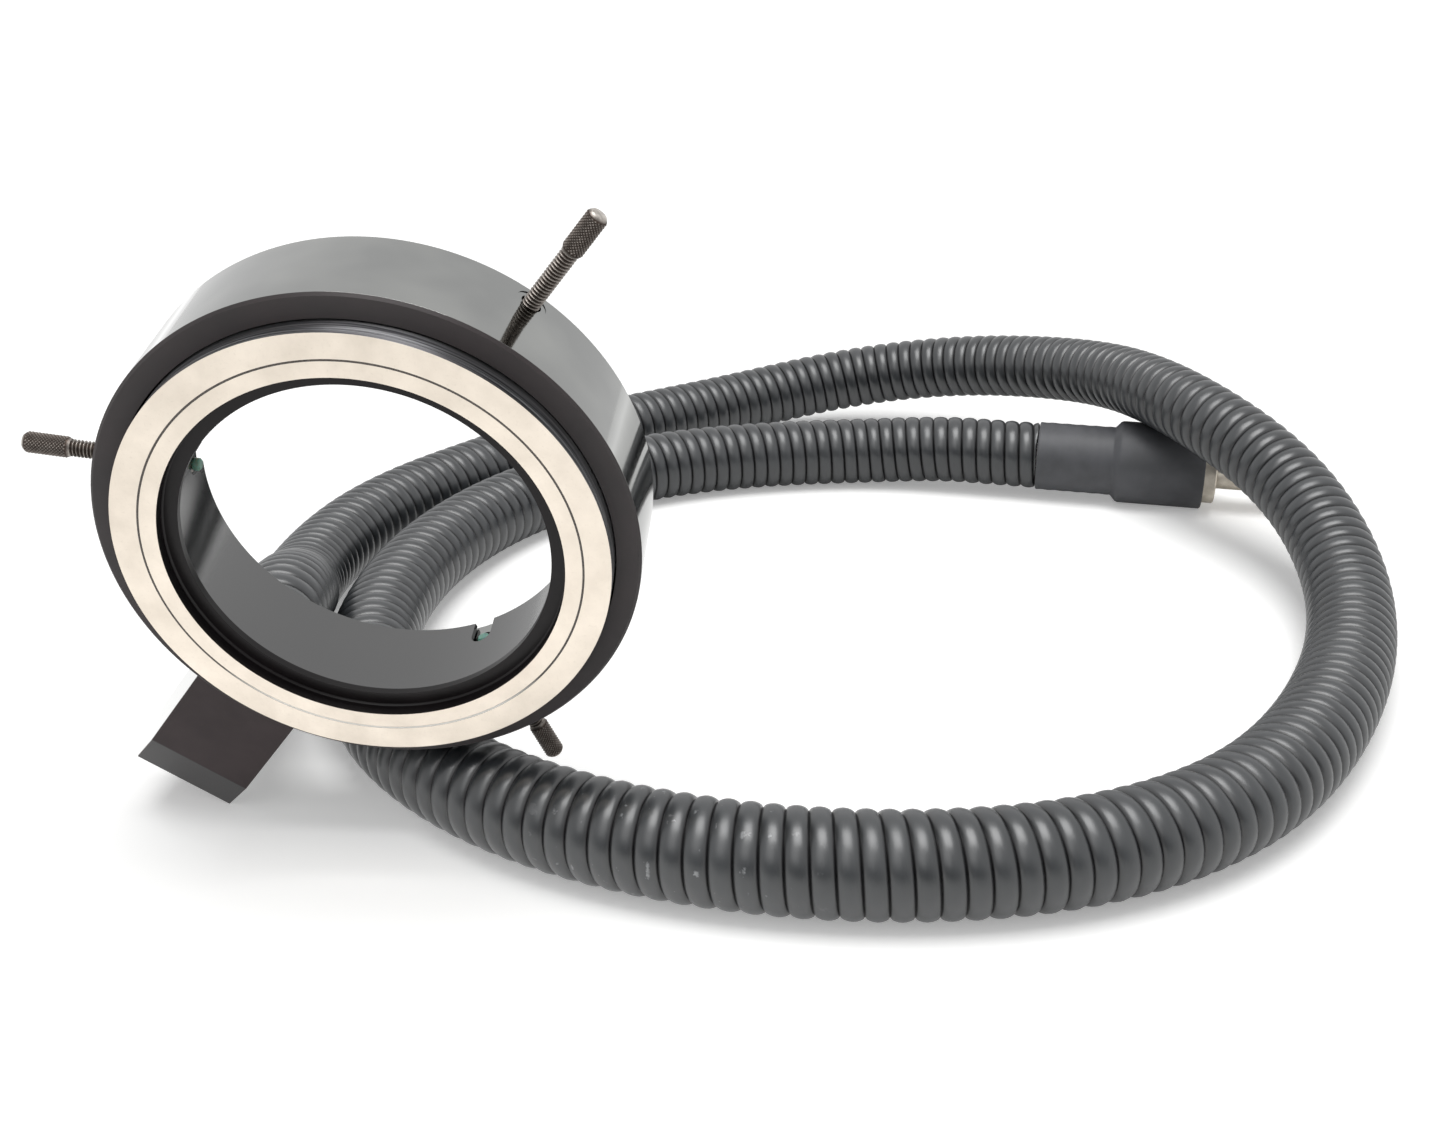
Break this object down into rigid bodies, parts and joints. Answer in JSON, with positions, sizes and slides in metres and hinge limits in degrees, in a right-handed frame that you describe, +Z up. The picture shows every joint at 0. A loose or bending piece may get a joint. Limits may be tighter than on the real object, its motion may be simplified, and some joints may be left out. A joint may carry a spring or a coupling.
{
  "type": "ring light guide",
  "caption": "Fibre-optic ring light head with thumbscrews that clamp it round a lens, on a ribbed armoured hose that ends in a light source connector.",
  "frame": {"origin": "on the bench, under the centre of the box of the head with its screws, block and gland", "axes": "+Z up; +Y away from the viewer, and the ring's bore axis lies in the YZ plane and rises 13.2 degrees towards +Y; +X to the right"},
  "size_m": [0.2751, 0.3034, 0.1182],
  "materials": {
    "black_anodised_aluminium": "black anodised, glossy on the turned wall and satin on the faces",
    "ground_aluminium": "front faces ground bright with fine scratches, the turned walls black anodised",
    "black_oxide_steel": "black oxide, worn bright on the thread crests and knurl",
    "green_nylon": "moulded green nylon",
    "glass_fibre": "polished fibre ends in epoxy",
    "potting_epoxy": "cast amber epoxy",
    "plated_brass": "satin nickel plate on turned brass",
    "grey_vinyl": "matte dark grey vinyl, ribbed",
    "heat_shrink": "black heat-shrink tube"
  },
  "bodies": {
    "light_guide": {"ring_housing": "black_anodised_aluminium", "outlet_block": "black_anodised_aluminium", "nose_collar": "ground_aluminium", "bore_sleeve": "ground_aluminium", "fibre_annulus": "glass_fibre", "fibre_fan": "glass_fibre", "fibre_neck": "glass_fibre", "fibre_bundle": "glass_fibre", "input_window": "glass_fibre", "potting_ring": "potting_epoxy", "block_screw_1": "black_oxide_steel", "block_screw_2": "black_oxide_steel", "gland_grub_screw": "black_oxide_steel", "hose_gland": "plated_brass", "end_fitting": "plated_brass", "ferrule": "plated_brass", "hose": "grey_vinyl", "shrink_sleeve": "heat_shrink"},
    "tip_1": {"thumbscrew_tip_1": "green_nylon"},
    "screw_1": {"thumbscrew_1": "black_oxide_steel"},
    "tip_2": {"thumbscrew_tip_2": "green_nylon"},
    "screw_2": {"thumbscrew_2": "black_oxide_steel"},
    "tip_3": {"thumbscrew_tip_3": "green_nylon"},
    "screw_3": {"thumbscrew_3": "black_oxide_steel"}
  },
  "joints": [
    {"name": "thumbscrew_1_travel", "type": "slide", "parent": "light_guide", "child": "tip_1", "axis": [-0.6115, 0.1807, -0.7703], "range_m": [-0.00302, 0.01092]},
    {"name": "thumbscrew_1_spin", "type": "hinge", "parent": "tip_1", "child": "screw_1", "pos_m": [0.0308, -0.00121, 0.09471], "axis": [-0.6115, 0.1807, -0.7703], "range_deg": [-2160, 6840]},
    {"name": "thumbscrew_2_travel", "type": "slide", "parent": "light_guide", "child": "tip_2", "axis": [0.991, 0.0306, -0.1304], "range_m": [-0.00302, 0.00942]},
    {"name": "thumbscrew_2_spin", "type": "hinge", "parent": "tip_2", "child": "screw_2", "pos_m": [-0.02549, 0.00425, 0.07145], "axis": [0.991, 0.0306, -0.1304], "range_deg": [-2160, 5760]},
    {"name": "thumbscrew_3_travel", "type": "slide", "parent": "light_guide", "child": "tip_3", "axis": [-0.3795, -0.2113, 0.9008], "range_m": [-0.00302, 0.01102]},
    {"name": "thumbscrew_3_spin", "type": "hinge", "parent": "tip_3", "child": "screw_3", "pos_m": [0.02247, 0.01294, 0.03438], "axis": [-0.3795, -0.2113, 0.9008], "range_deg": [-2160, 6840]}
  ],
  "couplings": [
    {"joint": "thumbscrew_1_spin", "follows": "thumbscrew_1_travel", "rad_per_m": 9894.8},
    {"joint": "thumbscrew_2_spin", "follows": "thumbscrew_2_travel", "rad_per_m": 9894.8},
    {"joint": "thumbscrew_3_spin", "follows": "thumbscrew_3_travel", "rad_per_m": 9894.8}
  ]
}
